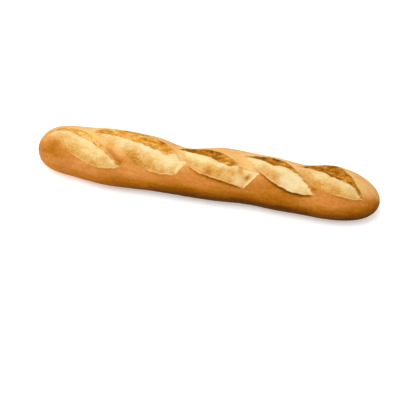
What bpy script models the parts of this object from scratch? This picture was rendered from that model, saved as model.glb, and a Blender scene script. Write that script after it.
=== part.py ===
"""A baguette: one long crusty loaf with five overlapping diagonal slashes, baked open.

Frame: +X runs along the loaf, +Y is the side the raised slash ears stand on, +Z is up.
The flat underside lies on z = 0, and the origin is the bottom centre of the loaf's box.
Dimensions are in millimetres and angles in radians until the vertices are written.

The crust is described by two surface coordinates: x along the loaf, and q, the distance
around it from the crest, positive towards the ears (+Y) and negative towards -Y.
"""

import math

import bmesh
import bpy
import numpy as np

MM = 0.001

# --- the whole loaf -------------------------------------------------------------------
LENGTH = 460.0
HALF_LENGTH = LENGTH / 2
HALF_WIDTH = 36.5
CENTRE_HEIGHT = 24.0  # height of the section's widest place above the underside
RISE = 33.0  # from the widest place up to the crest
BELLY = 29.0  # from the widest place down, before the oven floor flattens it
SQUARENESS = 2.2  # section exponent: 2 is an ellipse, more is boxier
CREST_RADIUS = 35.0  # turns the angle around the section into the distance q

LEFT_END = 51.0  # length over which each end rounds off
RIGHT_END = 70.0
END_SQUARENESS_LEFT = 2.15
END_SQUARENESS_RIGHT = 2.05
END_DROOP = 4.0  # the right end rests a little lower than the middle

# Swellings and waists of the crust, as (place along the loaf, extra half width). The deep
# waist on the far side is the strap of crust left standing between two slashes.
FAR_SWELL_REACH = 32.0
FAR_SWELLS = (
    (-190, -2.5),
    (-130, 1.5),
    (-75, 1.0),
    (-32, -7.0),
    (14, 1.0),
    (70, -1.3),
    (130, -3.0),
    (190, -3.5),
)
NEAR_SWELL_REACH = 36.0
NEAR_SWELLS = (
    (-190, -4.9),
    (-130, 2.7),
    (-60, -0.8),
    (0, -0.8),
    (60, -4.3),
    (120, -2.0),
    (185, -1.5),
)
CREST_SHARE = 0.8  # how much of a far swelling the crest follows

# --- the slashes ----------------------------------------------------------------------
# Each slash is a leaf between two curves that share their ends. Ends are (x, q); the
# handles steer the raised ear edge on the far side and the near edge.
SLASHES = (
    {
        "start": (-220, 4),
        "end": (-110, -31),
        "ear": ((35, 40), (-13, 7)),
        "near": ((17, -30), (-36, -5)),
    },
    {
        "start": (-152, 11),
        "end": (-37, -31),
        "ear": ((-5, 17), (32, 60)),
        "near": ((32, -17), (-50, -8)),
    },
    {
        "start": (-38, 14),
        "end": (54, -34),
        "ear": ((9, 23), (13, 37)),
        "near": ((35, -53), (-70, 17)),
    },
    {
        "start": (48, 14),
        "end": (144, -27),
        "ear": ((61, 17), (-21, 27)),
        "near": ((-13, -25), (-18, -11)),
    },
    {
        "start": (121, 17),
        "end": (207, -22),
        "ear": ((46, 30), (-6, 18)),
        "near": ((0, -40), (-20, -6)),
    },
)
EAR_LIFT = 4.2  # the ear's edge above the crust around it
EAR_ROOT = 7.0  # width of the crust that bends up with it
WALL_WIDTH = 2.4  # torn face between the ear's edge and the crevice under it
CREVICE_DEPTH = 3.8
CREVICE_WIDTH = 3.0
DOME_RISE = 2.2  # how far the opened crumb swells inside the leaf
DOME_FULLNESS = 0.7  # under 1 the dome is flat-topped, over 1 it is peaked
NEAR_LIP = 1.4  # the crumb's step at the near edge
NEAR_GROOVE = 1.2  # and the crust's dip outside it
NEAR_STEP_WIDTH = 1.9
CURVE_STEPS = 40  # straight pieces that stand for each edge curve

# narrow tears that run from the end of one slash up to the near edge of the next
TEARS = (((-37, -31), (-23, -9)), ((54, -34), (71, -14)))
TEAR_DEPTH = 2.2
TEAR_WIDTH = 3.0

# --- the mesh -------------------------------------------------------------------------
STATIONS = 134  # rings along the loaf
SECTORS = 40  # faces around it
TOP_CROWDING = 0.42  # closer rows on the slashed top, wider ones on the underside
EDGE_REACH = 6.5  # mesh rows this close to a slash edge are drawn towards it
EDGE_CROWDING = 0.52  # their spacing at the edge, as a share of what it was
EDGE_END_SHARE = 0.08  # the crowding dies out over this share of an edge at each end
PROFILE_STEPS = 4001  # samples of the long profile that the rings are spaced along
NORMAL_STEP = 0.5

CRUST_COLOUR = (0.62, 0.31, 0.11, 1.0)
CRUST_ROUGHNESS = 0.6


def smoothstep(values):
    """Ease from 0 to 1 as the values go from 0 to 1."""
    t = np.clip(values, 0.0, 1.0)
    return t * t * (3.0 - 2.0 * t)


def swells(x, items, reach):
    """Sum of the smooth bumps in items at the places x."""
    total = np.zeros_like(x)
    for centre, amount in items:
        total += amount * np.exp(-(((x - centre) / reach) ** 2))
    return total


def end_taper(x):
    """Share of the full section left at x: 1 in the middle, 0 at both tips."""
    left = np.clip((x + HALF_LENGTH) / LEFT_END, 0.0, 1.0)
    right = np.clip((HALF_LENGTH - x) / RIGHT_END, 0.0, 1.0)
    left = (1.0 - (1.0 - left) ** END_SQUARENESS_LEFT) ** (1.0 / END_SQUARENESS_LEFT)
    right = (1.0 - (1.0 - right) ** END_SQUARENESS_RIGHT) ** (1.0 / END_SQUARENESS_RIGHT)
    return left * right


def loaf_surface(x, q):
    """Points of the unslashed loaf at the surface coordinates x, q, one row each."""
    angle = q / CREST_RADIUS
    side, up = np.sin(angle), np.cos(angle)
    far = swells(x, FAR_SWELLS, FAR_SWELL_REACH)
    near = swells(x, NEAR_SWELLS, NEAR_SWELL_REACH)
    half_width = HALF_WIDTH + np.where(side > 0, far, near)
    half_height = np.where(up > 0, RISE + CREST_SHARE * far, BELLY)
    power = np.abs(side / half_width) ** SQUARENESS + np.abs(up / half_height) ** SQUARENESS
    radius = power ** (-1.0 / SQUARENESS) * end_taper(x)
    droop = END_DROOP * smoothstep((x - HALF_LENGTH + RIGHT_END) / RIGHT_END)
    height = CENTRE_HEIGHT - droop + radius * up
    return np.stack((x, radius * side, height), axis=-1)


def surface_normal(x, q):
    """Outward unit normals of the unslashed loaf."""
    inner = np.clip(x, NORMAL_STEP - HALF_LENGTH, HALF_LENGTH - NORMAL_STEP)
    along = loaf_surface(inner + NORMAL_STEP, q) - loaf_surface(inner - NORMAL_STEP, q)
    around = loaf_surface(inner, q + NORMAL_STEP) - loaf_surface(inner, q - NORMAL_STEP)
    normal = np.cross(around, along)
    return -normal / np.maximum(np.linalg.norm(normal, axis=-1, keepdims=True), 1e-9)


def station_places(shares):
    """Places along the loaf that are evenly spaced over the crust, tips included."""
    x = HALF_LENGTH * np.sin(np.linspace(-math.pi / 2, math.pi / 2, PROFILE_STEPS))
    radius = HALF_WIDTH * end_taper(x)
    travelled = np.concatenate(([0.0], np.cumsum(np.hypot(np.diff(x), np.diff(radius)))))
    return np.interp(shares, travelled / travelled[-1], x)


def bezier(start, handle_out, handle_in, end):
    """Evenly parametrised points of a cubic curve, handles given from its two ends."""
    t = np.linspace(0.0, 1.0, CURVE_STEPS + 1)[:, None]
    p0, p3 = np.array(start, float), np.array(end, float)
    p1, p2 = p0 + np.array(handle_out), p3 + np.array(handle_in)
    return (1 - t) ** 3 * p0 + 3 * (1 - t) ** 2 * t * p1 + 3 * (1 - t) * t**2 * p2 + t**3 * p3


def nearest_on(curve, points):
    """Distance from each point to a curve, how far along it (0 to 1), and the foot."""
    start, leg = curve[:-1], np.diff(curve, axis=0)
    offset = points[:, None, :] - start[None, :, :]
    share = np.clip((offset * leg).sum(-1) / (leg * leg).sum(-1), 0.0, 1.0)
    foot = start[None, :, :] + share[..., None] * leg[None, :, :]
    distance = np.linalg.norm(points[:, None, :] - foot, axis=-1)
    pick = distance.argmin(axis=1)
    rows = np.arange(len(points))
    along = (pick + share[rows, pick]) / len(leg)
    return distance[rows, pick], along, foot[rows, pick]


def inside_loop(loop, points):
    """Whether each point lies inside the closed loop of corners."""
    inside = np.zeros(len(points), bool)
    px, pq = points[:, 0], points[:, 1]
    for (ax, aq), (bx, bq) in zip(loop, np.roll(loop, -1, axis=0)):
        crosses = (aq > pq) != (bq > pq)
        rise = bq - aq if bq != aq else 1e-12
        inside ^= crosses & (px < ax + (pq - aq) * (bx - ax) / rise)
    return inside


def draw_to_edges(points, edges):
    """Crowd mesh points towards the slash edges, so that the edges stay crisp."""
    for edge in edges:
        distance, along, foot = nearest_on(edge, points)
        share = np.clip(distance / EDGE_REACH, 0.0, 1.0)
        ends = smoothstep(np.minimum(along, 1.0 - along) / EDGE_END_SHARE)
        pull = ends * (1.0 - EDGE_CROWDING) * (1.0 - share**2)
        points = points + (foot - points) * pull[:, None]
    return points


def slash_relief(points, ear, near):
    """Height that one slash adds to the crust: ear, torn wall, crevice and dome."""
    ear_distance, along, _ = nearest_on(ear, points)
    near_distance, near_along, _ = nearest_on(near, points)
    inside = inside_loop(np.concatenate((ear, near[::-1])), points)
    fade = np.sqrt(np.clip(np.sin(math.pi * along), 0.0, 1.0))
    near_fade = np.sqrt(np.clip(np.sin(math.pi * near_along), 0.0, 1.0))

    ear_skin = EAR_LIFT * fade * np.exp(-((ear_distance / EAR_ROOT) ** 2))
    inward = np.where(inside, near_distance, -near_distance) / NEAR_STEP_WIDTH
    near_step = NEAR_LIP * np.exp(-((inward - 1.0) ** 2)) - NEAR_GROOVE * np.exp(-((inward + 1.0) ** 2))
    near_step = near_step * near_fade
    outer = np.where(ear_distance < near_distance, ear_skin, near_step)

    across = ear_distance / np.maximum(ear_distance + near_distance, 1e-6)
    dome = DOME_RISE * fade * np.sin(math.pi * across) ** DOME_FULLNESS
    crevice = CREVICE_DEPTH * fade * np.exp(-(((ear_distance - WALL_WIDTH) / CREVICE_WIDTH) ** 2))
    bowl = dome + near_step - crevice
    wall = smoothstep(ear_distance / WALL_WIDTH)
    inner = EAR_LIFT * fade * (1.0 - wall) + bowl * wall
    return np.where(inside, inner, outer)


def tear_relief(points):
    """The shallow tears between one slash and the next."""
    height = np.zeros(len(points))
    for start, end in TEARS:
        distance, _, _ = nearest_on(np.array((start, end), float), points)
        height -= TEAR_DEPTH * np.exp(-((distance / TEAR_WIDTH) ** 2))
    return height


def loaf_vertices(directions):
    """Turn the directions of a unit ball's vertices into the vertices of the loaf."""
    shares = np.arccos(np.clip(directions[:, 2], -1.0, 1.0)) / math.pi
    turn = np.arctan2(directions[:, 1], directions[:, 0])
    turn = turn - TOP_CROWDING * np.sin(turn)
    points = np.stack((station_places(shares), CREST_RADIUS * turn), axis=-1)

    curves = []
    for slash in SLASHES:
        ends = slash["start"], slash["end"]
        curves.append([bezier(ends[0], *slash[edge], ends[1]) for edge in ("ear", "near")])
    at_tip = np.abs(directions[:, 2]) > 1.0 - 1e-9
    drawn = draw_to_edges(points, [edge for pair in curves for edge in pair])
    points = np.where(at_tip[:, None], points, drawn)

    relief = tear_relief(points)
    for ear, near in curves:
        relief += slash_relief(points, ear, near)
    x, q = points[:, 0], points[:, 1]
    vertices = loaf_surface(x, q) + surface_normal(x, q) * np.where(at_tip, 0.0, relief)[:, None]
    vertices[:, 2] = np.maximum(vertices[:, 2], 0.0)
    middle = (vertices.min(axis=0) + vertices.max(axis=0)) / 2
    middle[2] = vertices[:, 2].min()
    return vertices - middle


def crust_material():
    """Golden crust, as one plain colour."""
    material = bpy.data.materials.new("crust")
    material.use_nodes = True
    shader = material.node_tree.nodes["Principled BSDF"]
    shader.inputs["Base Color"].default_value = CRUST_COLOUR
    shader.inputs["Roughness"].default_value = CRUST_ROUGHNESS
    return material


def build_loaf(collection):
    """Shape a UV sphere, poles along X, into the loaf."""
    mesh = bpy.data.meshes.new("baguette")
    shape = bmesh.new()
    bmesh.ops.create_uvsphere(shape, u_segments=SECTORS, v_segments=STATIONS, radius=1.0)
    shape.verts.ensure_lookup_table()
    directions = np.array([vertex.co for vertex in shape.verts])
    directions /= np.linalg.norm(directions, axis=1, keepdims=True)
    for vertex, place in zip(shape.verts, loaf_vertices(directions) * MM):
        vertex.co = place
    bmesh.ops.recalc_face_normals(shape, faces=shape.faces)
    bmesh.ops.triangulate(shape, faces=shape.faces, quad_method="SHORT_EDGE")
    shape.to_mesh(mesh)
    shape.free()
    loaf = bpy.data.objects.new("baguette", mesh)
    loaf.data.materials.append(crust_material())
    collection.objects.link(loaf)
    return loaf


def main():
    """Empty the scene and build the loaf in its own collection."""
    for item in list(bpy.data.objects):
        bpy.data.objects.remove(item, do_unlink=True)
    collection = bpy.data.collections.new("Baguette")
    bpy.context.scene.collection.children.link(collection)
    build_loaf(collection)


main()
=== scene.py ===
"""A baguette: a long crusty loaf with five overlapping diagonal slashes, on a pale studio floor.

The loaf is one piece. Its crust is described by two surface coordinates in millimetres: x along
the loaf, and q, the distance around it from the crest, positive towards the side that the raised
slash ears stand on. Slashes, torn bands and browning, with the shade and highlights painted into
the crust, are all laid out in those coordinates.
"""

import itertools
import math
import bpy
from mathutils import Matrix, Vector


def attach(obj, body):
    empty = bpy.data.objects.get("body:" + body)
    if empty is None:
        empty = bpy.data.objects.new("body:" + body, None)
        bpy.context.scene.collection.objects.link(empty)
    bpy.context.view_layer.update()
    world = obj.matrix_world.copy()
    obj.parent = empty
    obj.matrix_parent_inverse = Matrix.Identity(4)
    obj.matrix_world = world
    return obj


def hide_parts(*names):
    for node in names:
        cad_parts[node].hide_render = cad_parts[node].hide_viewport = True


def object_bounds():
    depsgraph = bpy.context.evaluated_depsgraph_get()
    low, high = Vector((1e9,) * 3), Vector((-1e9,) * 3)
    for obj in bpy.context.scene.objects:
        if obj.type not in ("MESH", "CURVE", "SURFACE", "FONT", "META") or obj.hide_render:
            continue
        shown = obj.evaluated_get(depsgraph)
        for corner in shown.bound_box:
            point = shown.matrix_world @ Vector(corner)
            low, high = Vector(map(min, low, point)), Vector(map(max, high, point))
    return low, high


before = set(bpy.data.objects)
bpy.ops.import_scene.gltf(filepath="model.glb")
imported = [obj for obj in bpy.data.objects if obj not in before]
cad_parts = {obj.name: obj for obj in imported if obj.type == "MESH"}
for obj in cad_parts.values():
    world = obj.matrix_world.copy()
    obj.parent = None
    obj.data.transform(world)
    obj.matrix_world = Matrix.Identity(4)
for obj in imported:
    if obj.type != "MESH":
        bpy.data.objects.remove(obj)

from types import SimpleNamespace

import bpy
import numpy as np
from mathutils import Matrix, Vector

bl_info = {
    "name": "Baguette",
    "version": (1, 0, 0),
    "blender": (4, 5, 0),
    "location": "View3D > Sidebar > Baguette",
    "description": "Builds a slashed baguette and its studio",
    "category": "Add Mesh",
}

MM = 0.001
CAD_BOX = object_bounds()
CAD_NODE, CAD_BODY, CAD_SLOT = "baguette", "root", "crust"

# --- the whole loaf, in millimetres ---
HALF_LENGTH = (CAD_BOX[1][0] - CAD_BOX[0][0]) / MM / 2  # as long as the CAD solid
HALF_WIDTH = 37.0
CENTRE_HEIGHT = 24.0  # height of the section's widest place above the underside
RISE = 34.2  # from the widest place up to the crest
BELLY = 29.0  # from the widest place down, before the oven floor flattens it
SQUARENESS = 2.2  # section exponent: 2 is an ellipse, more is boxier
CREST_RADIUS = 35.0  # turns the angle around the section into the distance q
LEFT_END, RIGHT_END = 51.0, 70.0  # length over which each end rounds off
END_SQUARENESS_LEFT, END_SQUARENESS_RIGHT = 2.15, 2.05
END_DROOP = 4.0  # the right end rests a little lower than the middle

# Swellings and waists of the crust, as places along the loaf and the extra half width there.
FAR_SWELL_REACH, NEAR_SWELL_REACH = 32.0, 36.0
FAR_SWELLS = {-190: -2.2, -130: 1.9, -75: 1.5, -29: -8.4, 14: 1.3, 70: -1.2, 130: -5.4, 192: 0.2}
NEAR_SWELLS = {-190: -4.9, -130: 2.7, -60: -0.8, 0: -0.8, 60: -4.3, 120: -2.0, 185: -1.5}
CREST_SHARE = 0.8  # how much of a far swelling the crest follows

# --- the slashes ---
# Each slash is a leaf between two curves that share their ends. Ends are (x, q); the handles
# steer the raised ear edge on the far side and the near edge. A blunt slash has a hook and a heel
# as well: its two curves stop there and run on straight to its end, and "strip" is the width of
# the crumb that closes it, at the heel and at the end. These lists go along the ear:
#   torn   width of the rough band under the ear, in millimetres
#   char   how scorched that band is, 0 to 1
#   lift   height of the ear, in millimetres
#   line   how dark the ear's own edge is, 0 to 1: partly scorch, partly painted shade
# soft is the width of the change from the torn band to the crumb, in millimetres.
# depth is the crevice under the ear as a share of the lift; stop is the place along the ear where
# the band ends, and merge how softly crumb and crust blend past it, in millimetres; lip is how far
# the crumb stands proud at the near edge, and how strong the painted shadow below it is; blur is
# that edge's softness in millimetres up to the place crisp; flank is how far the crust sinks behind
# a turned ear, and how dark that hollow is painted as shade; pale is how cream the crumb is.
SLASHES = (
    {
        "start": (-220, 4),
        "end": (-110, -31),
        "ear": ((35, 40), (-13, 7)),
        "near": ((30, -22), (-46, -16)),
        "torn": (0.0, 5.0, 5.5, 1.2, 0.0),
        "char": (0.25, 0.15, 0.05, 0.10, 0.0),
        "lift": (0.0, 1.4, 1.7, 1.0, 0.0),
        "line": (0.3, 0.7, 0.5, 0.1, 0.0),
        "soft": 5.0,
        "depth": 0.8,
        "stop": 1.0,
        "merge": 0.0,
        "lip": 0.35,
        "blur": 5.0,
        "crisp": 0.3,
        "flank": 1.0,
        "pale": 1.0,
    },
    {
        "start": (-152, 11),
        "end": (-24, -9),
        "hook": (-35, -7),
        "heel": (-37, -31),
        "ear": ((-14, 13), (-8, 36)),
        "near": ((32, -17), (-50, -8)),
        "torn": (0.5, 5.5, 10.5, 12.5, 6.0),
        "char": (0.55, 0.28, 0.20, 0.35, 0.25),
        "lift": (0.0, 2.2, 3.0, 2.6, 0.0),
        "line": (0.1, 0.6, 0.9, 0.7, 0.0),
        "soft": 8.0,
        "depth": 0.8,
        "stop": 0.9,
        "merge": 4.0,
        "lip": 0.4,
        "blur": 6.0,
        "crisp": 0.6,
        "flank": 0.2,
        "pale": 1.05,
        "strip": (3.0, 8.5),
    },
    {
        "start": (-38, 14),
        "end": (72, -10),
        "hook": (45, -7),
        "heel": (54, -34),
        "ear": ((-4, 8), (-24, 26)),
        "near": ((26, -50), (-70, 17)),
        "torn": (0.5, 3.0, 6.5, 10.0, 6.0),
        "char": (0.50, 0.80, 0.60, 0.52, 0.45),
        "lift": (0.0, 2.0, 2.5, 2.5, 1.3),
        "line": (0.5, 0.8, 0.8, 0.5, 0.2),
        "soft": 3.0,
        "depth": 0.9,
        "stop": 0.97,
        "merge": 7.0,
        "lip": 0.7,
        "blur": 1.5,
        "crisp": 0.2,
        "flank": 0.2,
        "pale": 1.3,
        "strip": (3.0, 3.5),
    },
    {
        "start": (48, 14),
        "end": (144, -27),
        "ear": ((61, 17), (-21, 27)),
        "near": ((12, -18), (-36, -12)),
        "torn": (0.3, 8.0, 3.2, 0.6, 0.0),
        "char": (0.70, 0.80, 0.45, 0.20, 0.0),
        "lift": (0.0, 2.7, 1.5, 0.5, 0.0),
        "line": (0.9, 0.9, 0.7, 0.3, 0.0),
        "soft": 3.0,
        "depth": 0.8,
        "stop": 1.0,
        "merge": 2.0,
        "lip": 0.85,
        "blur": 0.5,
        "crisp": 0.2,
        "flank": 0.9,
        "pale": 1.2,
    },
    {
        "start": (121, 17),
        "end": (207, -22),
        "ear": ((46, 30), (-6, 18)),
        "near": ((0, -40), (-20, -6)),
        "torn": (0.8, 18.0, 16.0, 3.0, 1.0),
        "char": (0.60, 0.80, 0.50, 0.55, 0.45),
        "lift": (0.0, 2.5, 2.5, 1.4, 0.4),
        "line": (0.8, 0.8, 0.9, 0.9, 0.6),
        "soft": 4.0,
        "depth": 0.9,
        "stop": 1.0,
        "merge": 0.0,
        "lip": 0.5,
        "blur": 4.0,
        "crisp": 0.45,
        "flank": 0.0,
        "pale": 1.15,
    },
)
CREASE = ((-37, -30), (-34, -52))  # fold in the side crust below the second slash
EAR_SHARES = (0.0, 0.25, 0.5, 0.75, 1.0)  # places along an ear that its lists of values are for
EAR_HEIGHT = 3.0  # the tallest ear in the lists above
DOME_RISE = 1.6  # how far the opened crumb swells
LIP_HEIGHT = 1.0  # the crumb's step at a near edge whose lip is 1

# How a slash fades along its length, in shares of it.
START_FADE, END_FADE = 0.10, 0.12
STOP_FADE = 0.06
CRISP_FADE = 0.15
NEAR_END_FADE = 0.05
TURN_PLACE, TURN_REACH = 0.45, 0.25  # where an ear turns down across the loaf
FLANK_PLACE, FLANK_REACH, FLANK_FADE = 0.5, 0.25, 0.06
MERGE_REACH = 0.18

# How it is shaped across, in millimetres unless said otherwise.
WANDER, FRAY = 0.75, 0.5  # how far torn edges stray, and the share of that in fine fraying
EAR_ROOT, TURNED_EAR_ROOT = 8.0, 6.5  # width of the crust that bends up with the ear
EAR_WAVE = 0.18  # unevenness of the ear, as a share of its height
BAND_WAVE, BAND_FRAY = 0.24, 0.12  # unevenness of the torn band, as shares of its width
BAND_LEAST, BAND_MARGIN = 0.6, 0.01  # its least width, and what is left of it at the tips
BAND_MOST = 0.55  # share of the opening that the torn band may take
WALL_CURVE = 1.5  # over 1, the torn wall is steepest at the ear
WALL_ROUGHNESS = 0.7
CREVICE_WAVE = 0.3
CLIMB_SHARE = 0.28  # the crumb climbs out of the crevice over this share of its width
DOME_FULL_SPAN = 24.0  # a slash this wide or wider swells fully
DOME_LEAN = 0.8  # under 1, the dome is fullest towards the ear
DOME_PEAK, DOME_FLAT = 2.0, 0.8  # the dome's steepness past the band's end and beside the band
BUBBLE_HEIGHT, BEAD_HEIGHT = 0.55, 0.2
BUBBLE_FADE = 3.0
LIP_PLACE, LIP_WIDTH = 1.2, 1.8
HANG, HANG_PLACE, HANG_WIDTH = 0.3, 0.5, 1.3  # the crumb leans out over the crust below
GROOVE_DEPTH, GROOVE_WIDTH = 0.45, 2.4
FLANK_DEPTH, FLANK_PLACE_ACROSS, FLANK_WIDTH = 1.6, 3.5, 5.0
STRIP_RIM, STRIP_PALENESS = 0.45, 0.7  # how far the closing strip takes on the pale rim
STRIP_STRENGTH, STRIP_EDGE, STRIP_RISE = 0.8, 4.0, 0.3
CREASE_DEPTH, CREASE_WIDTH = 0.5, 1.6
BLISTER_HEIGHT, PORE_HEIGHT = 0.55, 0.16

# Where the marks of the heat, the painted shade and the painted highlight lie, in millimetres
# from the edge that they follow.
# the ear's dark edge line: partly scorch, partly painted shade of the lip
EDGE_LINE_WIDTH = 0.85
PIT_WIDTH = 1.0
PIT_STRENGTH = 0.85  # as a share of a full scorch
# the painted shadow on the crust under a crumb lip that stands proud
LIP_SHADOW_PLACE, LIP_SHADOW_WIDTH = 0.9, 2.5
# the crumb's pale rim: partly its own torn edge, partly a painted highlight
RIM_WIDTH = 1.1
# the crust raised with an ear, which is painted paler as a highlight
SKIN_WIDTH = 10.0
SHARP_EDGE = 0.7  # half the width of the change from crust to crumb at a crisp near edge
MERGED_EDGE = 0.4  # the same under the ear
BLUR_REACH = 0.2  # share of the slash over which the soft near edge turns crisp
SOFTEST_RIM = 3.0  # an edge softer than this has no pale rim

# Darkening of the crust, 0 to 1: real browning and painted shade together. How much each place
# adds, where it starts and over how many millimetres it grows. The sides, darker partly as painted
# shade where they turn from the light overhead, are counted around from the crest; the floor's heat
# and the painted shade low on the loaf, in height.
SIDE_BROWNING_AND_SHADE = 0.27
NEAR_SIDE_START, NEAR_SIDE_REACH = 4.0, 34.0
FAR_SIDE_START, FAR_SIDE_REACH = 26.0, 52.0
SIDE_CHANGES = ((-130, -75, -35, 0), (0.04, -0.04, 0.04, 0.08))  # places along the loaf, amounts
FLOOR_START, FLOOR_REACH = 45.0, 35.0
FLOOR_BROWNING_AND_SHADE = ((-230, -170, -110, -60, 190, 230), (0.03, 0.14, 0.44, 0.62, 0.58, 0.46))
UNDERSIDE_START, UNDERSIDE_REACH = 92.0, 10.0
UNDERSIDE_PALENESS = 0.4  # share of the floor's browning that the underside lacks
LEFT_START, LEFT_REACH = -165.0, 40.0
LEFT_BROWNING, LEFT_EVENNESS = 0.13, 0.45  # the left end is browner and more even
UNEVEN_BROWNING, PATCH_BROWNING_AND_SHADING = 0.10, 0.5
# the painted shadow under a proud lip, the painted shade in the hollow behind a turned ear, and the
# crust raised with an ear, painted paler as a highlight
LIP_SHADOW_DARKENING, FLANK_SHADE, SKIN_PALENESS = 0.50, 0.31, 0.16

# How strongly the marks show, and how much of the noise they take up.
CHAR_STREAKS, BARE_STREAKS = 0.7, 0.25  # streaks that grow with the char, and those that do not
PIT_BASE, PIT_CHAR, PIT_SCATTER = 0.25, 0.2, 1.7
EDGE_LINE_BASE, EDGE_LINE_SCATTER = 0.75, 0.8
TORN_ONSET, CHAR_ONSET = 4.0, 3.0  # over 1, they reach full strength sooner from a slash's ends
CREVICE_EDGE = 0.04  # share of the crumb's width that the crevice shades
MOTTLE_BASE, MOTTLE_CREAM, MOTTLE_GRAIN = 0.72, 0.62, 0.32
SPOT_FRAY = 2.5  # how ragged the edges of patches and flour are, in millimetres
FLOUR_PALENESS = 0.3

# Large odd numbers that scramble a noise cell's place and seed into its value.
HASH_AXES = (73856093, 19349663, 83492791)
HASH_SEED, HASH_MIX = 2654435761, 1274126177
HASH_SHIFTS, HASH_KEEP, HASH_RANGE = (13, 15), 0x7FFFFFFF, 0xFFFF
LAYER_STRENGTH = 0.55  # of each finer layer of noise, as a share of the one before

# Noise over the crust, as (cell size in millimetres, for each axis if they differ; seed; layers).
GRAINS = {
    "wander_x": (7.0, 11, 3),
    "wander_q": (7.0, 21, 3),
    "fray_x": (2.2, 14, 1),
    "fray_q": (2.2, 24, 1),
    "ear": (14.0, 31, 1),
    "band": (9.0, 41, 1),
    "band_fray": (3.0, 43, 1),
    "crevice": (10.0, 51, 1),
    "wall": ((5.0, 1.8, 1.8), 61, 3),
    "bubbles": (11.0, 71, 3),
    "beads": (2.5, 75, 1),
    "edge_line": (7.0, 79, 1),
    "pits": ((6.0, 3.0, 3.0), 81, 1),
    "streaks": ((9.0, 3.0, 3.0), 91, 4),
    "edge_blur": (6.0, 101, 3),
    "mottle": ((12.0, 9.0, 9.0), 111, 4),
    "blisters": ((46.0, 30.0, 30.0), 131, 3),
    "pores": (8.0, 141, 3),
    "patch_edge": (5.0, 151, 1),
    "flour_edge": (5.0, 161, 1),
    "browning": ((50.0, 22.0, 22.0), 171, 3),
}

# Places painted browner, or paler where the amount is negative: (x, q, radius, amount). Some
# caught more heat, some are painted shade on facets turned from the light and painted highlight
# on the raised crust between slashes.
PATCHES = (
    (37, -12, 9, 0.35),
    (48, -12, 4, 0.6),
    (57, -18, 4.5, 0.7),
    (4, -18, 8, 0.35),
    (-8, 2, 10, -0.25),
    (22, -16, 7, 0.15),
    (92, -12, 6, 0.35),
    (-92, -15, 12, 0.3),
    (-139, 4, 11, -0.25),
    (-118, -8, 9, -0.25),
    (-26, 8, 10, -0.3),
    (60, 2, 14, -0.35),
    (150, -2, 8, -0.2),
    (-46, -14, 11, -0.4),
    (-203, -14, 7, 0.25),
)
# Places of the opened crumb that were left floury, in the same terms.
FLOURY = (
    (45, -27, 7, 0.8),
    (112, -20, 17, 1.0),
    (-66, -2, 5, 0.5),
    (-110, 1, 9, 0.5),
    (-84, -2, 8, 0.35),
)
CURVE_STEPS, HOOK_STEPS = 40, 10  # of a slash's edge, and of the straight that closes a blunt one

# --- the mesh ---
STATIONS = 548  # rings along the loaf
SECTORS = 180  # faces around it
TOP_CROWDING = 0.45  # closer rows on the slashed top
EDGE_REACH = 9.0  # points this near a slash's edge, in millimetres, are drawn towards it
EDGE_CROWDING = 0.5  # the distance that is left to the ones beside the edge, as a share
EDGE_END_SHARE = 0.08  # share of the edge over which the drawing starts and stops
PROFILE_STEPS = 6001  # samples of the outline that the rings are spaced along
NORMAL_STEP = 0.5  # millimetres each way that slopes are measured over
TINY = 1e-6  # keeps divisions finite, and tells the tips from the points beside them


# --- form ---
def smoothstep(values):
    """Ease from 0 to 1 as the values go from 0 to 1."""
    t = np.clip(values, 0.0, 1.0)
    return t * t * (3.0 - 2.0 * t)


def grain(places, size, seed):
    """Smooth noise from -1 to 1 in cells of the given size; size may differ for each axis."""
    scaled = places / np.asarray(size, float)
    cell = np.floor(scaled).astype(np.int64)
    part = smoothstep(scaled - cell)
    total = np.zeros(len(places))
    for corner in itertools.product((0, 1), repeat=3):
        along, across, up = ((cell + np.array(corner)) * HASH_AXES).T
        mixed = along ^ across ^ up ^ seed * HASH_SEED
        mixed = (mixed ^ (mixed >> HASH_SHIFTS[0])) * HASH_MIX & HASH_KEEP
        mixed = (mixed ^ (mixed >> HASH_SHIFTS[1])) & HASH_RANGE
        weight = np.prod(np.where(np.array(corner) == 1, part, 1.0 - part), axis=1)
        total += weight * mixed / HASH_RANGE
    return 2.0 * total - 1.0


def layered_grain(places, size, seed, layers):
    """Noise with finer, weaker layers added to it, still about -1 to 1."""
    total, strength, sum_strength = np.zeros(len(places)), 1.0, 0.0
    for layer in range(layers):
        total += strength * grain(places, np.asarray(size, float) / 2**layer, seed + layer)
        sum_strength += strength
        strength *= LAYER_STRENGTH
    return total / sum_strength


def bump(values, width):
    """A smooth bump: 1 where the values are 0, fading over the given width."""
    return np.exp(-((values / width) ** 2))


def swells(x, items, reach):
    """Sum of the smooth bumps in items at the places x."""
    total = np.zeros_like(x)
    for centre, amount in items.items():
        total += amount * bump(x - centre, reach)
    return total


def end_taper(x):
    """Share of the full section left at x: 1 in the middle, 0 at both tips."""
    left = np.clip((x + HALF_LENGTH) / LEFT_END, 0.0, 1.0)
    right = np.clip((HALF_LENGTH - x) / RIGHT_END, 0.0, 1.0)
    left = (1.0 - (1.0 - left) ** END_SQUARENESS_LEFT) ** (1.0 / END_SQUARENESS_LEFT)
    right = (1.0 - (1.0 - right) ** END_SQUARENESS_RIGHT) ** (1.0 / END_SQUARENESS_RIGHT)
    return left * right


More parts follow.
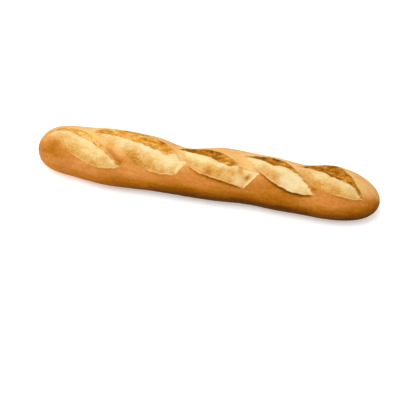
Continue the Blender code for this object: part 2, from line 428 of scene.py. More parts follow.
def loaf_surface(x, q):
    """Points of the unslashed loaf at the surface coordinates x, q, one row each."""
    angle = q / CREST_RADIUS
    side, up = np.sin(angle), np.cos(angle)
    far = swells(x, FAR_SWELLS, FAR_SWELL_REACH)
    near = swells(x, NEAR_SWELLS, NEAR_SWELL_REACH)
    half_width = HALF_WIDTH + np.where(side > 0, far, near)
    half_height = np.where(up > 0, RISE + CREST_SHARE * far, BELLY)
    power = np.abs(side / half_width) ** SQUARENESS + np.abs(up / half_height) ** SQUARENESS
    radius = power ** (-1.0 / SQUARENESS) * end_taper(x)
    droop = END_DROOP * smoothstep((x - HALF_LENGTH + RIGHT_END) / RIGHT_END)
    height = CENTRE_HEIGHT - droop + radius * up
    return np.stack((x, radius * side, height), axis=-1)


def surface_normal(x, q):
    """Outward unit normals of the unslashed loaf."""
    inner = np.clip(x, NORMAL_STEP - HALF_LENGTH, HALF_LENGTH - NORMAL_STEP)
    along = loaf_surface(inner + NORMAL_STEP, q) - loaf_surface(inner - NORMAL_STEP, q)
    around = loaf_surface(inner, q + NORMAL_STEP) - loaf_surface(inner, q - NORMAL_STEP)
    normal = np.cross(around, along)
    return -normal / np.maximum(np.linalg.norm(normal, axis=-1, keepdims=True), TINY)


def station_places(shares):
    """Places along the loaf that are evenly spaced over the crust, tips included."""
    x = HALF_LENGTH * np.sin(np.linspace(-math.pi / 2, math.pi / 2, PROFILE_STEPS))
    radius = HALF_WIDTH * end_taper(x)
    travelled = np.concatenate(([0.0], np.cumsum(np.hypot(np.diff(x), np.diff(radius)))))
    return np.interp(shares, travelled / travelled[-1], x)


def bezier(start, handle_out, handle_in, end):
    """Evenly parametrised points of a cubic curve, handles given from its two ends."""
    t = np.linspace(0.0, 1.0, CURVE_STEPS + 1)[:, None]
    p0, p3 = np.array(start, float), np.array(end, float)
    p1, p2 = p0 + np.array(handle_out), p3 + np.array(handle_in)
    return (1 - t) ** 3 * p0 + 3 * (1 - t) ** 2 * t * p1 + 3 * (1 - t) * t**2 * p2 + t**3 * p3


def nearest_on(curve, points):
    """Distance from each point to a curve, how far along it, and the foot.

    Along is 0 to 1 on the curved part, and over 1 on the straight edge that closes a blunt slash.
    """
    best = np.full(len(points), np.inf)
    along = np.zeros(len(points))
    foot = np.zeros_like(points)
    for number, (start, end) in enumerate(zip(curve[:-1], curve[1:])):
        leg = end - start
        share = np.clip(((points - start) @ leg) / (leg @ leg), 0.0, 1.0)
        place = start + share[:, None] * leg
        distance = np.linalg.norm(points - place, axis=1)
        nearer = distance < best
        best = np.where(nearer, distance, best)
        along = np.where(nearer, (number + share) / CURVE_STEPS, along)
        foot = np.where(nearer[:, None], place, foot)
    return best, along, foot


def inside_loop(loop, points):
    """Whether each point lies inside the closed loop of corners."""
    inside = np.zeros(len(points), bool)
    px, pq = points[:, 0], points[:, 1]
    for (ax, aq), (bx, bq) in zip(loop, np.roll(loop, -1, axis=0)):
        crosses = (aq > pq) != (bq > pq)
        rise = bq - aq if bq != aq else TINY
        inside ^= crosses & (px < ax + (pq - aq) * (bx - ax) / rise)
    return inside


def draw_to_edges(points, edges):
    """Crowd mesh points towards the slash edges, so that the edges stay crisp."""
    for edge in edges:
        distance, along, foot = nearest_on(edge, points)
        share = np.clip(distance / EDGE_REACH, 0.0, 1.0)
        ends = smoothstep(np.minimum(along, np.abs(1.0 - along)) / EDGE_END_SHARE)
        pull = ends * (1.0 - EDGE_CROWDING) * (1.0 - share**2)
        points = points + (foot - points) * pull[:, None]
    return points


def lay_out(slash, points):
    """Where each point lies in a slash: distances to its edges, shares along them, and fades."""
    ear, near = slash_curves(slash)
    at = SimpleNamespace()
    at.ear_distance, at.along, _ = nearest_on(ear, points)
    at.near_distance, at.near_along, foot = nearest_on(near, points)
    at.inside = inside_loop(np.concatenate((ear, near[::-1])), points)
    at.near_side = at.near_distance < at.ear_distance
    at.closing = at.near_along > 1.0
    at.span = at.ear_distance + at.near_distance
    at.going = smoothstep((slash["stop"] - at.along) / STOP_FADE)
    at.fade = smoothstep(at.along / START_FADE) * smoothstep((1.0 - at.along) / END_FADE)
    at.near_fade = smoothstep((at.near_along - slash["crisp"]) / CRISP_FADE)
    at.near_fade *= smoothstep(np.abs(1.0 - at.near_along) / NEAR_END_FADE)
    outward = foot - points
    at.outward = outward / np.maximum(np.linalg.norm(outward, axis=1, keepdims=True), TINY)

    # a blunt slash closes with a strip of crumb that curls up against the crust
    at.strip = np.zeros(len(points))
    if "strip" in slash:
        width = np.interp(at.near_along, (1.0, 1.0 + HOOK_STEPS / CURVE_STEPS), slash["strip"])
        strip = STRIP_STRENGTH * smoothstep((width - at.near_distance) / STRIP_EDGE + 0.5)
        at.strip = np.where(at.inside & at.closing, strip, 0.0)
    return at


def tear_ear(slash, at, noise, settings):
    """The ear's lift, the torn band under it and the crevice that the band runs down into."""
    lift = np.interp(at.along, EAR_SHARES, slash["lift"]) * at.going
    at.lift = lift * (1.0 + EAR_WAVE * noise["ear"]) * settings.ear_height / (EAR_HEIGHT * MM)
    band = np.interp(at.along, EAR_SHARES, slash["torn"]) * at.going * settings.torn_width
    band *= 1.0 + BAND_WAVE * noise["band"] + BAND_FRAY * noise["band_fray"]
    at.band = np.minimum(band + BAND_LEAST, BAND_MOST * at.span + BAND_MARGIN)
    at.in_band = at.inside & (at.ear_distance < at.band)
    at.crevice = slash["depth"] * at.lift * (1.0 + CREVICE_WAVE * noise["crevice"])
    at.over = (at.ear_distance - at.band) / np.maximum(at.span - at.band, TINY)
    at.over = np.clip(at.over, 0.0, 1.0)  # 0 at the band, 1 at the near edge


def opened_relief(slash, at, noise, settings):
    """Height inside the slash: the torn wall down from the ear, then the swollen crumb."""
    down = np.clip(at.ear_distance / at.band, 0.0, 1.0)
    rough = WALL_ROUGHNESS * noise["wall"] * np.sin(math.pi * down) * at.going
    fall = 1.0 - (1.0 - down) ** WALL_CURVE
    wall = at.lift - (at.crevice + at.lift) * fall + rough * at.fade

    climb = 1.0 - (1.0 - np.clip(at.over / CLIMB_SHARE, 0.0, 1.0)) ** 2
    steepness = DOME_PEAK - (DOME_PEAK - DOME_FLAT) * at.going
    swell = smoothstep(at.span / DOME_FULL_SPAN) * np.sin(math.pi * at.over**DOME_LEAN) ** steepness
    bubbles = BUBBLE_HEIGHT * noise["bubbles"] + BEAD_HEIGHT * noise["beads"]
    step = at.near_fade * slash["lip"] * bump(at.near_distance - LIP_PLACE, LIP_WIDTH)
    dome = settings.dome_rise / MM * swell - at.crevice * (1.0 - climb)
    dome += bubbles * smoothstep(at.near_distance / BUBBLE_FADE) + settings.lip_height / MM * step
    return np.where(at.in_band, wall, dome) + STRIP_RISE * at.strip


def crust_relief(slash, at):
    """Height outside the slash: up along the ear, down below the near edge and behind a turned ear."""
    turned = smoothstep((at.along - TURN_PLACE) / TURN_REACH)
    root = EAR_ROOT - (EAR_ROOT - TURNED_EAR_ROOT) * turned
    skin = at.lift * bump(at.ear_distance, root)
    flank = bump(at.ear_distance - FLANK_PLACE_ACROSS, FLANK_WIDTH)
    flank = np.where(~at.inside & ~at.near_side, flank, 0.0) * slash["flank"]
    at.flank = flank * smoothstep((at.along - FLANK_PLACE) / FLANK_REACH)
    at.flank *= smoothstep((1.0 - at.along) / FLANK_FADE)
    groove = GROOVE_DEPTH * slash["lip"] ** 2 * at.near_fade
    groove = groove * bump(at.near_distance, GROOVE_WIDTH) * ~at.closing
    return np.where(at.near_side, -groove, skin - FLANK_DEPTH * at.flank)


def bake_masks(slash, at, noise):
    """Strength of each surface, painted shade and highlight in and around the slash, 0 to 1."""
    # the near edge starts as a soft change of colour and ends as a crisp line
    blur = slash["blur"] * (1.0 - smoothstep((at.near_along - slash["crisp"]) / BLUR_REACH))
    inward = np.where(at.inside, at.near_distance, -at.near_distance)
    inward = (inward + 0.5 * blur * noise["edge_blur"]) / (SHARP_EDGE + blur)
    melt = smoothstep((at.along - slash["stop"] + MERGE_REACH) / MERGE_REACH)
    melt = MERGED_EDGE + slash["merge"] * melt
    upward = np.where(at.inside, at.ear_distance, -at.ear_distance) / melt
    crumb = smoothstep(0.5 + 0.5 * np.where(at.near_side, inward, upward))
    crisp = 1.0 - np.clip(blur / SOFTEST_RIM, 0.0, 1.0)

    torn = smoothstep(0.5 + (at.band - at.ear_distance) / slash["soft"])
    char = np.interp(at.along, EAR_SHARES, slash["char"])
    charred = char * (1.0 + CHAR_STREAKS * noise["streaks"]) + BARE_STREAKS * noise["streaks"]
    charred = np.clip(charred, 0.0, 1.0)
    # dark pits along the crevice under the ear: partly scorched crumb, partly painted shade there
    pit = np.where(at.inside, bump(at.ear_distance - at.band, PIT_WIDTH), 0.0) * at.fade * at.going
    pit = pit * smoothstep(PIT_BASE + PIT_CHAR * char + PIT_SCATTER * noise["pits"])
    # the ear's dark edge line: partly scorch, partly painted shade of the lip
    line_strength = smoothstep(EDGE_LINE_BASE + EDGE_LINE_SCATTER * noise["edge_line"])
    edge = bump(at.ear_distance, EDGE_LINE_WIDTH) * line_strength
    edge *= np.interp(at.along, EAR_SHARES, slash["line"]) * at.going
    # painted shadow: a reddish-brown band on the crust under a crumb lip that stands proud
    lip_shadow = bump(at.near_distance - LIP_SHADOW_PLACE, LIP_SHADOW_WIDTH) * at.near_fade * crisp
    lip_shadow = np.where(~at.inside & at.near_side & ~at.closing, lip_shadow, 0.0)
    # pale rim inside a crisp near edge: partly the crumb's torn edge, partly a painted highlight
    rim = np.where(at.inside, bump(at.near_distance, RIM_WIDTH), 0.0) * at.near_fade * crisp
    # the crust that the ear raised is painted paler, as a highlight
    skin = np.where(~at.inside & ~at.near_side, bump(at.ear_distance, SKIN_WIDTH), 0.0)
    return {
        "crumb": crumb,
        "torn": np.where(at.inside, torn * at.going * smoothstep(at.fade * TORN_ONSET), 0.0),
        "char": np.where(at.in_band, charred * smoothstep(at.fade * CHAR_ONSET), 0.0),
        "scorch": np.maximum(edge, PIT_STRENGTH * pit),
        "lip_shadow": lip_shadow * min(1.0, slash["lip"] ** 2),
        "rim": np.maximum(rim, STRIP_RIM * at.strip),
        "flank": at.flank,
        "skin": skin * at.fade,
    }


def shape_slash(slash, points, noise, layers, settings):
    """Add one slash's relief, sideways shift and surface masks to the layers."""
    stray = np.stack([noise["wander_" + axis] + FRAY * noise["fray_" + axis] for axis in "xq"], 1)
    at = lay_out(slash, points + WANDER * stray)
    tear_ear(slash, at, noise, settings)
    inner, outer = opened_relief(slash, at, noise, settings), crust_relief(slash, at)
    layers["relief"] += np.where(at.inside, inner, outer)

    # where the lip is strong the crumb hangs out over the crust below
    hang = HANG * slash["lip"] ** 2 * at.near_fade * bump(at.near_distance - HANG_PLACE, HANG_WIDTH)
    layers["shift"] += at.outward * np.where(at.inside & ~at.closing, hang, 0.0)[:, None]

    masks = bake_masks(slash, at, noise)
    for name, mask in masks.items():
        layers[name] = np.maximum(layers[name], mask)

    # the crumb is cream under the crevice, and golden and spotted towards the near edge
    cream = slash["pale"] * (1.0 - at.over) * smoothstep(at.over / CREVICE_EDGE)
    mottle = MOTTLE_BASE - MOTTLE_CREAM * cream + MOTTLE_GRAIN * noise["mottle"]
    mottle *= 1.0 - STRIP_PALENESS * at.strip
    layers["mottle"] = np.where(masks["crumb"] > 0.0, mottle, layers["mottle"])


def loaf_layers(points, places, settings):
    """Relief, shift and surface masks of the whole crust at the surface points."""
    noise = {name: layered_grain(places, *entry) for name, entry in GRAINS.items()}
    names = ("relief", "crumb", "torn", "char", "scorch", "lip_shadow", "rim", "flank", "skin", "mottle")
    layers = {name: np.zeros(len(points)) for name in names}
    layers["shift"] = np.zeros_like(points)
    for slash in SLASHES:
        shape_slash(slash, points, noise, layers, settings)
    uneven = BLISTER_HEIGHT * noise["blisters"] + PORE_HEIGHT * noise["pores"]
    layers["relief"] += (1.0 - layers["crumb"]) * uneven
    fold, _, _ = nearest_on(np.array(CREASE, float), points)
    layers["relief"] -= CREASE_DEPTH * bump(fold, CREASE_WIDTH)
    for name, spots in (("patch", PATCHES), ("flour", FLOURY)):
        layers[name] = np.zeros(len(points))
        for x, q, radius, amount in spots:
            away = np.hypot(points[:, 0] - x, points[:, 1] - q)
            away = np.maximum(away + SPOT_FRAY * noise[name + "_edge"], 0.0)
            layers[name] += amount * bump(away, radius)
    layers["mottle"] += layers["patch"] - FLOUR_PALENESS * layers["flour"]
    layers["bake"] = crust_bake_and_shade(points, places, noise, layers, settings)
    return layers


def crust_bake_and_shade(points, places, noise, layers, settings):
    """Browning plus painted shade, 0 to 1: palest on top, darkest round towards the oven floor."""
    x, q = points.T
    around = smoothstep((NEAR_SIDE_START - q) / NEAR_SIDE_REACH)
    around = np.maximum(around, smoothstep((q - FAR_SIDE_START) / FAR_SIDE_REACH))
    low = smoothstep((FLOOR_START - places[:, 2]) / FLOOR_REACH)
    low *= 1.0 - UNDERSIDE_PALENESS * smoothstep((np.abs(q) - UNDERSIDE_START) / UNDERSIDE_REACH)
    low *= np.interp(x, *FLOOR_BROWNING_AND_SHADE)
    left = smoothstep((LEFT_START - x) / LEFT_REACH)
    bake = settings.browning + SIDE_BROWNING_AND_SHADE * around * (1.0 - LEFT_EVENNESS * left)
    bake += LEFT_BROWNING * left + low + around * np.interp(x, *SIDE_CHANGES)
    bake += UNEVEN_BROWNING * noise["browning"] + PATCH_BROWNING_AND_SHADING * layers["patch"]
    # painted shadow under proud lips and painted shade in the hollows behind turned ears
    bake += LIP_SHADOW_DARKENING * layers["lip_shadow"] + FLANK_SHADE * layers["flank"]
    return np.clip(bake - SKIN_PALENESS * layers["skin"], 0.0, 1.0)


def slash_curves(slash):
    """The ear edge and the near edge of a slash, each run on straight to a blunt slash's end."""
    curves = []
    for edge, corner in (("ear", "hook"), ("near", "heel")):
        turn = slash.get(corner, slash["end"])
        curve = bezier(slash["start"], *slash[edge], turn)
        if corner in slash:
            closing = np.linspace(turn, slash["end"], HOOK_STEPS + 1)
            curve = np.concatenate((curve, closing[1:]))
        curves.append(curve)
    return curves


def shape_loaf(directions, settings):
    """Vertices in millimetres and surface masks, for the directions of a ball's vertices."""
    shares = np.arccos(np.clip(-directions[:, 0], -1.0, 1.0)) / math.pi
    turn = np.arctan2(directions[:, 1], directions[:, 2])
    turn = turn - TOP_CROWDING * np.sin(turn)
    points = np.stack((station_places(shares), CREST_RADIUS * turn), axis=-1)
    edges = [edge for slash in SLASHES for edge in slash_curves(slash)]
    at_tip = np.abs(directions[:, 0]) > 1.0 - TINY
    points = np.where(at_tip[:, None], points, draw_to_edges(points, edges))
    layers = loaf_layers(points, loaf_surface(points[:, 0], points[:, 1]), settings)
    moved = points + layers["shift"]
    x, q = np.clip(moved[:, 0], -HALF_LENGTH, HALF_LENGTH), moved[:, 1]
    relief = np.where(at_tip, 0.0, layers["relief"])
    vertices = loaf_surface(x, q) + surface_normal(x, q) * relief[:, None]
    vertices[:, 2] = np.maximum(vertices[:, 2], 0.0)
    middle = (vertices.min(axis=0) + vertices.max(axis=0)) / 2
    middle[2] = 0.0
    return vertices - middle, layers


# --- materials ---
# Layers that are stored on the mesh, 0 to 1 at each vertex, for the material to read.
MASKS = ("bake", "mottle", "char", "flour", "crumb", "torn", "scorch", "rim")
FACTOR, VALUE_A, VALUE_B, COLOUR_A, COLOUR_B, MIXED_COLOUR = 0, 2, 3, 6, 7, 2  # Mix node sockets

# Noise fields in the crust: size in millimetres, detail, roughness, and the pattern's scale along
# the loaf, where under 1 draws it out long.
# Patches are the uneven heat of the oven, streaks the skin pulled long as the loaf rose, flecks
# the fine blisters of the crust. Curds are the soft lumps of the crumb, fibres its torn strands,
# and specks its pores, which are finer than this in a real loaf and drawn large enough to show.
FIELDS = {
    "patches": (26.0, 4.0, 0.60, 0.40),
    "streaks": (6.0, 3.0, 0.55, 0.30),
    "flecks": (3.2, 3.0, 0.65, 0.80),
    "curds": (9.0, 5.0, 0.62, 0.70),
    "fibres": (2.4, 4.0, 0.70, 0.40),
    "specks": (1.7, 2.0, 0.60, 1.00),
}
# Each surface's shades run from pale, 0, to dark, 1, along its mask plus its share of the fields.
SURFACES = {
    "crust": ("bake", (("patches", 0.50), ("streaks", 0.18), ("flecks", 0.30))),
    "crumb": ("mottle", (("curds", 0.60), ("flecks", 0.42), ("specks", 0.40))),
    "torn": ("char", (("fibres", 1.20), ("specks", 0.60))),
}
SHADES = {
    "crust": ("palest", "pale", "golden", "tan", "brown", "deep", "dark"),
    "crumb": ("cream", "straw", "wheat", "golden", "toasted", "brown"),
    "torn": ("pale", "golden", "amber", "brown", "charred"),
}
STOPS = {
    "crust": (0.00, 0.12, 0.26, 0.42, 0.60, 0.78, 1.00),
    "crumb": (0.00, 0.22, 0.42, 0.62, 0.82, 1.00),
    "torn": (0.00, 0.25, 0.50, 0.75, 1.00),
}
CRUST_ROUGHNESS, CRUMB_ROUGHNESS = 0.6, 0.9
CRUST_SPECULAR = 0.02  # starch bakes dull: only a faint warm sheen is left
# How the pores and the flour gather out of the specks.
PORE_CONTRAST, PORE_OFFSET = 9.0, -0.75
FLOUR_CONTRAST, FLOUR_OFFSET = 1.6, 0.35
FLOUR_COVER, RIM_COVER, SCORCH_AND_SHADE_COVER = 0.9, 0.75, 0.8  # how far each hides what lies under it
FIELD_SHIFT = (0.1, 0.2, 0.3)  # keeps the fields from lining up, as shares of their sizes
GRAIN_HEIGHT = 1.2  # of the flecks and pores, in millimetres
GRAIN_STRENGTH = 0.35
FLOOR_ROUGHNESS = 0.9


def linear(hex_colour):
    """Linear RGBA for an sRGB hex colour such as "#D9A05B"."""
    values = [int(hex_colour[i : i + 2], 16) / 255 for i in (1, 3, 5)]
    values = [v / 12.92 if v <= 0.04045 else ((v + 0.055) / 1.055) ** 2.4 for v in values]
    return (*values, 1.0)


def add(tree, kind, inputs=None, out=0, stops=(), **settings):
    """Add a node with its settings, links and ramp stops, and return one of its outputs."""
    node = tree.nodes.new(kind)
    for name, value in settings.items():
        setattr(node, name, value)
    for key, value in (inputs or {}).items():
        if isinstance(value, bpy.types.NodeSocket):
            tree.links.new(value, node.inputs[key])
        else:
            node.inputs[key].default_value = value
    for number, (place, colour) in enumerate(stops):
        elements = node.color_ramp.elements
        element = elements[number] if number < 2 else elements.new(place)
        element.position, element.color = place, colour
    return node.outputs[out] if node.outputs else None


def surface_fields(tree):
    """The noise fields, each from about -0.5 to 0.5."""
    place = add(tree, "ShaderNodeTexCoord", out="Object")
    fields = {}
    for name, (size, detail, rough, stretch) in FIELDS.items():
        shift = Vector(FIELD_SHIFT) * size
        spread = {"Vector": place, "Location": shift, "Scale": (stretch, 1.0, 1.0)}
        vector = add(tree, "ShaderNodeMapping", spread)
        inputs = {"Vector": vector, "Scale": 1 / (size * MM), "Detail": detail, "Roughness": rough}
        noise = add(tree, "ShaderNodeTexNoise", inputs)
        fields[name] = add(tree, "ShaderNodeMath", {0: noise, 1: 0.5}, operation="SUBTRACT")
    return fields


def surface_colours(tree, masks, fields, settings):
    """The colour of the crust, of the crumb and of the torn band."""
    colours = {}
    for name, (mask, shares) in SURFACES.items():
        level = masks[mask]
        for field, share in shares:
            inputs = {0: fields[field], 1: share, 2: level}
            level = add(tree, "ShaderNodeMath", inputs, operation="MULTIPLY_ADD")
        shades = [getattr(settings, f"{name}_{shade}") for shade in SHADES[name]]
        stops = tuple(zip(STOPS[name], shades))
        colours[name] = add(tree, "ShaderNodeValToRGB", {0: level}, stops=stops)
    return colours


def bread_material(settings):
    """Baked wheat crust, torn open over pale crumb."""
    # Wheat dough baked on an oven floor. The crust browned as its starch and sugar dried: dull,
    # palest on the bulging top, darkest low on the sides, where painted shade adds to the
    # browning. The slashes tore open late, so the crumb in them is cream to golden, matt and pored,
    # and only the torn bands and ears are scorched. The ears' dark edges, the crevice pits and the
    # line under a proud crumb lip carry painted shade too, and the crumb's crisp rim a painted
    # highlight.
    material = bpy.data.materials.new("Baked wheat crust and torn crumb")
    material.use_nodes = True
    tree = material.node_tree
    tree.nodes.clear()
    masks = {
        name: add(tree, "ShaderNodeAttribute", out="Fac", attribute_name=name) for name in MASKS
    }
    fields = surface_fields(tree)
    colours = surface_colours(tree, masks, fields, settings)

    # pores show as small brown pits where the crumb is toasted, flour as a cool pale dust
    inputs = {0: fields["specks"], 1: PORE_CONTRAST, 2: PORE_OFFSET}
    pores = add(tree, "ShaderNodeMath", inputs, operation="MULTIPLY_ADD", use_clamp=True)
    pores = add(tree, "ShaderNodeMath", {0: pores, 1: masks["mottle"]}, operation="MULTIPLY")
    inputs = {0: fields["specks"], 1: FLOUR_CONTRAST, 2: FLOUR_OFFSET}
    dust = add(tree, "ShaderNodeMath", inputs, operation="MULTIPLY_ADD", use_clamp=True)
    dust = add(tree, "ShaderNodeMath", {0: dust, 1: masks["flour"]}, operation="MULTIPLY")
    colour = colours["crumb"]
    for factor, share, over in (
        (pores, 1.0, settings.pore_colour),
        (dust, FLOUR_COVER, settings.flour_colour),
        (masks["torn"], 1.0, colours["torn"]),
        (masks["rim"], RIM_COVER, settings.rim_colour),
    ):
        factor = add(tree, "ShaderNodeMath", {0: factor, 1: share}, operation="MULTIPLY")
        inputs = {FACTOR: factor, COLOUR_A: colour, COLOUR_B: over}
        colour = add(tree, "ShaderNodeMix", inputs, out=MIXED_COLOUR, data_type="RGBA")
    inputs = {FACTOR: masks["crumb"], COLOUR_A: colours["crust"], COLOUR_B: colour}
    colour = add(tree, "ShaderNodeMix", inputs, out=MIXED_COLOUR, data_type="RGBA")
    # the dark ear edges and crevice pits, partly scorch and partly painted shade, go over all
    inputs = {0: masks["scorch"], 1: SCORCH_AND_SHADE_COVER}
    scorch = add(tree, "ShaderNodeMath", inputs, operation="MULTIPLY")
    inputs = {FACTOR: scorch, COLOUR_A: colour, COLOUR_B: settings.scorch_and_shade_colour}
    colour = add(tree, "ShaderNodeMix", inputs, out=MIXED_COLOUR, data_type="RGBA")

    inputs = {FACTOR: masks["crumb"], VALUE_A: CRUST_ROUGHNESS, VALUE_B: CRUMB_ROUGHNESS}
    roughness = add(tree, "ShaderNodeMix", inputs)
    inputs = {FACTOR: masks["crumb"], VALUE_A: fields["flecks"], VALUE_B: fields["specks"]}
    height = add(tree, "ShaderNodeMix", inputs)
    inputs = {"Height": height, "Strength": GRAIN_STRENGTH, "Distance": GRAIN_HEIGHT * MM}
    normal = add(tree, "ShaderNodeBump", inputs)
    inputs = {
        "Base Color": colour,
        "Roughness": roughness,
        "Normal": normal,
        "Specular IOR Level": CRUST_SPECULAR,
        "Specular Tint": settings.sheen_colour,
    }
    shader = add(tree, "ShaderNodeBsdfPrincipled", inputs)
    add(tree, "ShaderNodeOutputMaterial", {"Surface": shader})
    return material


def floor_material(settings):
    """Matt white paper sweep."""
    # Uncoated background paper lit from behind: no gloss, and only a faint soft shadow on it.
    material = bpy.data.materials.new("Matt white background paper")
    material.use_nodes = True
    tree = material.node_tree
    tree.nodes.clear()
    inputs = {
        "Base Color": settings.floor_colour,
        "Roughness": FLOOR_ROUGHNESS,
        "Emission Color": settings.floor_colour,
        "Emission Strength": settings.floor_glow,
    }
    shader = add(tree, "ShaderNodeBsdfPrincipled", inputs)
    add(tree, "ShaderNodeOutputMaterial", {"Surface": shader})
    return material


# --- settings ---
def colour_setting(name, description, hex_colour):
    """A colour that the user can change."""
    return bpy.props.FloatVectorProperty(
        name=name,
        description=description,
        default=linear(hex_colour),
        size=4,
        min=0.0,
        max=1.0,
        subtype="COLOR",
    )


def length_setting(name, description, metres):
    """A size that the user can change."""
    return bpy.props.FloatProperty(
        name=name, description=description, default=metres, min=0.0, precision=4, unit="LENGTH"
    )


def share_setting(name, description, share):
    """A share or a strength that the user can change."""
    return bpy.props.FloatProperty(
        name=name, description=description, default=share, min=0.0, subtype="FACTOR", soft_max=2.0
    )


def angle_setting(name, description, degrees):
    """An angle that the user can change."""
    return bpy.props.FloatProperty(
        name=name, description=description, default=math.radians(degrees), subtype="ANGLE"
    )


class BaguetteLoafSettings(bpy.types.PropertyGroup):
    """Sizes and colours of the loaf."""

    ear_height: length_setting("Ear height", "Height of the tallest slash ear", EAR_HEIGHT * MM)
    dome_rise: length_setting("Crumb rise", "How far the opened crumb swells", DOME_RISE * MM)
    lip_height: length_setting("Lip height", "Step of the crumb at its near edge", LIP_HEIGHT * MM)
    torn_width: share_setting("Torn width", "Width of the torn bands, as a share of the usual", 1.0)
    browning: share_setting("Browning", "How brown the palest crust is", 0.13)
    # The crust's shades follow its browning and painted shade, so the darker ones stand partly for
    # painted shade low on the sides.
    crust_palest: colour_setting("Palest crust", "Crust where it hardly browned", "#D7AC68")
    crust_pale: colour_setting("Pale crust", "Crust on the bulging top", "#D39F60")
    crust_golden: colour_setting("Golden crust", "Crust high on the sides", "#CA904E")
    crust_tan: colour_setting("Tan crust", "Crust halfway down the sides", "#BA7635")
    crust_brown: colour_setting("Brown crust", "Crust low on the sides", "#A05F10")
    crust_deep: colour_setting("Deep brown crust", "Crust near the oven floor", "#7E4604")
    crust_dark: colour_setting("Darkest crust", "Crust that nearly burnt", "#4E2902")
    crumb_cream: colour_setting("Cream crumb", "Crumb that opened last", "#DAC492")
    crumb_straw: colour_setting("Straw crumb", "Crumb beside the cream", "#D5B87A")
    crumb_wheat: colour_setting("Wheat crumb", "Crumb in the middle of a slash", "#CCA668")
    crumb_golden: colour_setting("Golden crumb", "Crumb near the near edge", "#C6954E")
    crumb_toasted: colour_setting("Toasted crumb", "Crumb that stood proud", "#B88034")
    crumb_brown: colour_setting("Brown crumb", "Crumb that caught most heat", "#98601C")
    torn_pale: colour_setting("Pale torn band", "Palest strands under an ear", "#DDB063")
    torn_golden: colour_setting("Golden torn band", "Golden strands under an ear", "#C78B33")
    torn_amber: colour_setting("Amber torn band", "Amber strands under an ear", "#AE6E1B")
    torn_brown: colour_setting("Brown torn band", "Brown strands under an ear", "#8A5213")
    torn_charred: colour_setting("Charred torn band", "Scorched strands under an ear", "#633810")
    pore_colour: colour_setting("Pores", "Small pits in the toasted crumb", "#90581C")
    flour_colour: colour_setting("Flour", "Dusting left on the crumb", "#DAD3BA")
    # Partly the crumb's own pale torn edge, partly a painted highlight where a crisp edge stands
    # proud.
    rim_colour: colour_setting("Rim", "Thin pale edge of the crumb", "#E2C38A")
    # Dark ear edges and crevice pits: partly scorch, partly painted shade.
    scorch_and_shade_colour: colour_setting("Scorch", "Edge of the ears and pits below them", "#683A12")
    sheen_colour: colour_setting("Sheen", "Tint of the faint shine", "#F0C080")


class BaguetteStageSettings(bpy.types.PropertyGroup):
    """Floor, lights and camera of the studio."""

    azimuth: angle_setting("Azimuth", "Turn of the camera around the loaf", 11.4)
    elevation: angle_setting("Elevation", "How steeply the camera looks down", 55.0)
    lens: bpy.props.FloatProperty(
        name="Lens", description="Focal length", default=100.0, min=1.0, unit="CAMERA"
    )
    distance: length_setting("Distance", "From the camera to the point it looks at", 1.47)
    aim_height: length_setting("Aim height", "Height that the camera looks at", 0.029)
    aim_left: length_setting("Aim left", "How far left of the loaf's middle it looks", 0.0089)
    aim_below: length_setting("Aim below", "How far below the loaf's middle it looks", 0.0381)
    floor_size: length_setting("Floor size", "Width of the paper", 12.0)
    floor_colour: colour_setting("Floor", "Colour of the paper", "#F7F6F4")
    floor_glow: share_setting("Floor glow", "Light that comes through the paper", 0.3)
    sky_colour: colour_setting("Room light colour", "Colour of the light all round", "#FFFFFF")
    sky_strength: share_setting("Room light", "Strength of the light all round", 0.8)
    key_size: length_setting("Key size", "Width of the soft box overhead", 1.2)
    key_power: bpy.props.FloatProperty(
        name="Key power", description="Soft box overhead", default=15.0, min=0.0, unit="POWER"
    )
    fill_size: length_setting("Fill size", "Width of the panel in front", 1.0)
    fill_power: bpy.props.FloatProperty(
        name="Fill power", description="Panel in front", default=1.5, min=0.0, unit="POWER"
    )


KEY_PLACE = (-0.40, -0.05, 1.3)  # in metres: above the loaf, a little towards its left end
FILL_PLACE = (0.3, -1.4, 0.9)  # in metres: in front, a little to the right
SENSOR_WIDTH = 36.0  # in millimetres


# --- operators ---
class BAGUETTE_OT_loaf(bpy.types.Operator):
    """Build the slashed loaf"""

    bl_idname = "baguette.loaf"
    bl_label = "Loaf"

    def execute(self, context):
        """Shape a ball of fine mesh, poles at the loaf's tips, and give it its crust."""
        settings = context.scene.baguette_loaf
        centre = Vector((0.0, 0.0, CENTRE_HEIGHT * MM))
        bpy.ops.object.select_all(action="DESELECT")
        bpy.ops.mesh.primitive_uv_sphere_add(
            segments=SECTORS,
            ring_count=STATIONS,
            radius=HALF_LENGTH * MM,
            location=centre,
            rotation=(0.0, -math.pi / 2, 0.0),
        )
        bpy.ops.object.transform_apply(location=True, rotation=True, scale=True)
        loaf = context.object
        loaf.name = loaf.data.name = "baguette_loaf"
        mesh = loaf.data
        places = np.empty(len(mesh.vertices) * 3)
        mesh.vertices.foreach_get("co", places)
        directions = places.reshape(-1, 3) - np.array(centre)
        directions /= np.linalg.norm(directions, axis=1, keepdims=True)
        vertices, layers = shape_loaf(directions, settings)
        if not np.isfinite(vertices).all():
            raise RuntimeError("the loaf's settings give it no closed surface")
        mesh.vertices.foreach_set("co", (vertices * MM).ravel())
        for name in MASKS:
            attribute = mesh.attributes.new(name, "FLOAT", "POINT")
            attribute.data.foreach_set("value", np.clip(layers[name], 0.0, 1.0))
        mesh.update()
        bpy.ops.object.mode_set(mode="EDIT")
        bpy.ops.mesh.select_all(action="SELECT")
        bpy.ops.mesh.normals_make_consistent(inside=False)
        bpy.ops.object.mode_set(mode="OBJECT")
        bpy.ops.object.shade_smooth()
        mesh.materials.append(bread_material(settings))
        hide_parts(CAD_NODE)
        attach(loaf, CAD_BODY)
        return {"FINISHED"}


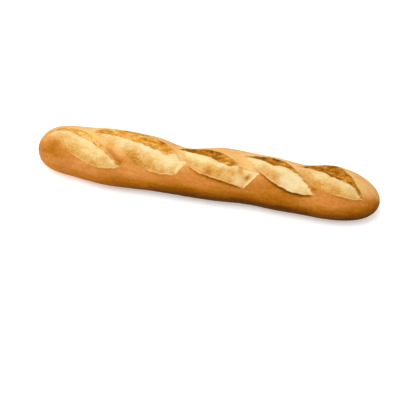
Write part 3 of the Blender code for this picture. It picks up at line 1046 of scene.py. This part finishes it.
def lay_floor(context, settings):
    """The paper that the loaf stands on."""
    bpy.ops.object.select_all(action="DESELECT")
    bpy.ops.mesh.primitive_plane_add(size=settings.floor_size)
    floor = context.object
    floor.name = floor.data.name = "floor"
    floor.data.materials.append(floor_material(settings))


def light_studio(scene, settings):
    """Even light all round, a soft box overhead and a weak panel in front."""
    scene.view_settings.view_transform = "Standard"
    world = bpy.data.worlds.new("Studio")
    world.use_nodes = True
    background = world.node_tree.nodes["Background"]
    background.inputs["Color"].default_value = settings.sky_colour
    background.inputs["Strength"].default_value = settings.sky_strength
    scene.world = world
    for name, place, size, power in (
        ("key_softbox", KEY_PLACE, settings.key_size, settings.key_power),
        ("front_fill", FILL_PLACE, settings.fill_size, settings.fill_power),
    ):
        light = bpy.data.lights.new(name, "AREA")
        light.shape = "SQUARE"
        light.size = size
        light.energy = power
        lamp = bpy.data.objects.new(name, light)
        lamp.location = place
        lamp.rotation_euler = (-Vector(place)).to_track_quat("-Z", "Y").to_euler()
        scene.collection.objects.link(lamp)


def place_camera(scene, settings):
    """A long lens that looks down on the loaf from the front right."""
    back = Vector((0.0, -math.cos(settings.elevation), math.sin(settings.elevation)))
    back.rotate(Matrix.Rotation(settings.azimuth, 3, "Z"))
    right = Vector((math.cos(settings.azimuth), math.sin(settings.azimuth), 0.0))
    up = back.cross(right)
    aim = Vector((0.0, 0.0, settings.aim_height))
    aim -= right * settings.aim_left + up * settings.aim_below
    camera = bpy.data.objects.new("camera", bpy.data.cameras.new("camera"))
    camera.data.lens = settings.lens
    camera.data.sensor_width = SENSOR_WIDTH
    camera.location = aim + back * settings.distance
    camera.rotation_euler = back.to_track_quat("Z", "Y").to_euler()
    scene.collection.objects.link(camera)
    scene.camera = camera


class BAGUETTE_OT_stage(bpy.types.Operator):
    """Lay the floor and set the lights and the camera"""

    bl_idname = "baguette.stage"
    bl_label = "Stage"

    def execute(self, context):
        """Floor, lights and camera, from the stage settings."""
        settings = context.scene.baguette_stage
        if settings.distance <= 0.0:
            raise RuntimeError("the camera needs some distance to the loaf")
        lay_floor(context, settings)
        light_studio(context.scene, settings)
        place_camera(context.scene, settings)
        return {"FINISHED"}


class BAGUETTE_PT_panel(bpy.types.Panel):
    """Sidebar panel with the pieces and their settings"""

    bl_idname = "BAGUETTE_PT_panel"
    bl_label = "Baguette"
    bl_space_type = "VIEW_3D"
    bl_region_type = "UI"
    bl_category = "Baguette"

    def draw(self, context):
        """List each operator, and under it the settings that it reads."""
        for operator, settings in (
            (BAGUETTE_OT_loaf, context.scene.baguette_loaf),
            (BAGUETTE_OT_stage, context.scene.baguette_stage),
        ):
            box = self.layout.box()
            box.operator(operator.bl_idname)
            for name in type(settings).__annotations__:
                box.prop(settings, name)


CLASSES = (
    BaguetteLoafSettings,
    BaguetteStageSettings,
    BAGUETTE_OT_loaf,
    BAGUETTE_OT_stage,
    BAGUETTE_PT_panel,
)


def register():
    """Register the classes and hang the settings on the scene."""
    for item in CLASSES:
        bpy.utils.register_class(item)
    bpy.types.Scene.baguette_loaf = bpy.props.PointerProperty(type=BaguetteLoafSettings)
    bpy.types.Scene.baguette_stage = bpy.props.PointerProperty(type=BaguetteStageSettings)


def unregister():
    """Take the settings and the classes away again."""
    del bpy.types.Scene.baguette_stage
    del bpy.types.Scene.baguette_loaf
    for item in reversed(CLASSES):
        bpy.utils.unregister_class(item)


def main():
    """Build everything."""
    register()
    bpy.ops.baguette.loaf()
    bpy.ops.baguette.stage()


if __name__ == "__main__":
    main()
